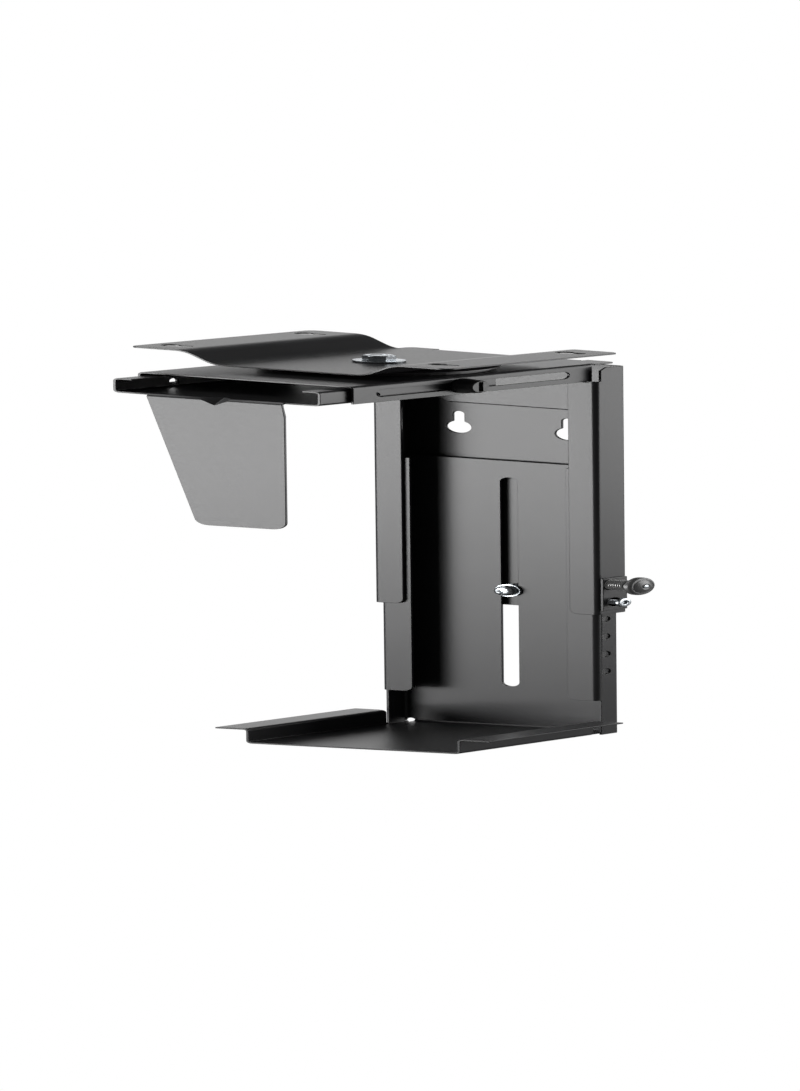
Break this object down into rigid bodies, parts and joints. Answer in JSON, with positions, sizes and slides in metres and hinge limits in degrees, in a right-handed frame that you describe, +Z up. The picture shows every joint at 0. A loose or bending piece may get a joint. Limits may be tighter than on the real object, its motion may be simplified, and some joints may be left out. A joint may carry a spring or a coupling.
{
  "type": "under-desk computer case holder",
  "caption": "Black sheet-steel holder that hangs a computer case under a desk, with swivel bracket, sliding width flap and height-adjustable tray.",
  "frame": {"origin": "on the swivel axis, in the plane of the desk's underside that the bracket's flanges touch", "axes": "+Z up, towards the desk; +X from the side flap towards the column; -Y towards the side that the locking plunger is pulled to"},
  "size_m": [0.2147, 0.17, 0.443],
  "materials": {
    "black_coated_steel": "satin black powder coat",
    "zinc_plated_steel": "bright zinc plating",
    "black_plastic": "semi-gloss black",
    "glide_nylon": "matte black",
    "spring_steel": "drawn wire"
  },
  "bodies": {
    "desk_mount": {"desk_bracket": "black_coated_steel", "pivot_bolt": "zinc_plated_steel", "pivot_washer": "zinc_plated_steel", "swivel_disc": "black_coated_steel", "glide_disc": "glide_nylon", "pivot_lower_washer": "zinc_plated_steel", "pivot_nut": "zinc_plated_steel"},
    "swivel_frame": {"outer_arm": "black_coated_steel", "upper_column": "black_coated_steel", "clamp_bolt": "zinc_plated_steel", "clamp_washer": "zinc_plated_steel", "clamp_nut": "zinc_plated_steel", "lock_plate": "black_coated_steel", "plunger_barrel": "zinc_plated_steel", "plunger_spring": "spring_steel", "lock_screw": "zinc_plated_steel"},
    "tray_frame": {"lower_frame": "black_coated_steel"},
    "flap_arm": {"sliding_arm": "black_coated_steel"},
    "front_thumb_screw": {"width_screw_front": "black_plastic"},
    "rear_thumb_screw": {"width_screw_rear": "black_plastic"},
    "plunger": {"plunger_pin": "zinc_plated_steel", "plunger_knob": "black_plastic"}
  },
  "joints": [
    {"name": "swivel", "type": "hinge", "parent": "desk_mount", "child": "swivel_frame", "pos_m": [0, 0, 0], "axis": [0, 0, 1], "continuous": true},
    {"name": "height_slide", "type": "slide", "parent": "swivel_frame", "child": "tray_frame", "axis": [0, 0, 1], "range_m": [-0.12, 0.095]},
    {"name": "width_slide", "type": "slide", "parent": "swivel_frame", "child": "flap_arm", "axis": [-1, 0, 0], "range_m": [-0.07, 0.055]},
    {"name": "front_screw_turn", "type": "hinge", "parent": "flap_arm", "child": "front_thumb_screw", "pos_m": [-0.0163, -0.0574, -0.0295], "axis": [0, -1, 0], "range_deg": [-180, 180]},
    {"name": "rear_screw_turn", "type": "hinge", "parent": "flap_arm", "child": "rear_thumb_screw", "pos_m": [-0.0163, 0.0574, -0.0295], "axis": [0, 1, 0], "range_deg": [-180, 180]},
    {"name": "plunger_pull", "type": "slide", "parent": "swivel_frame", "child": "plunger", "axis": [0, -1, 0], "range_m": [0, 0.005], "stiffness_N_per_m": 500, "springref_m": -0.006}
  ]
}
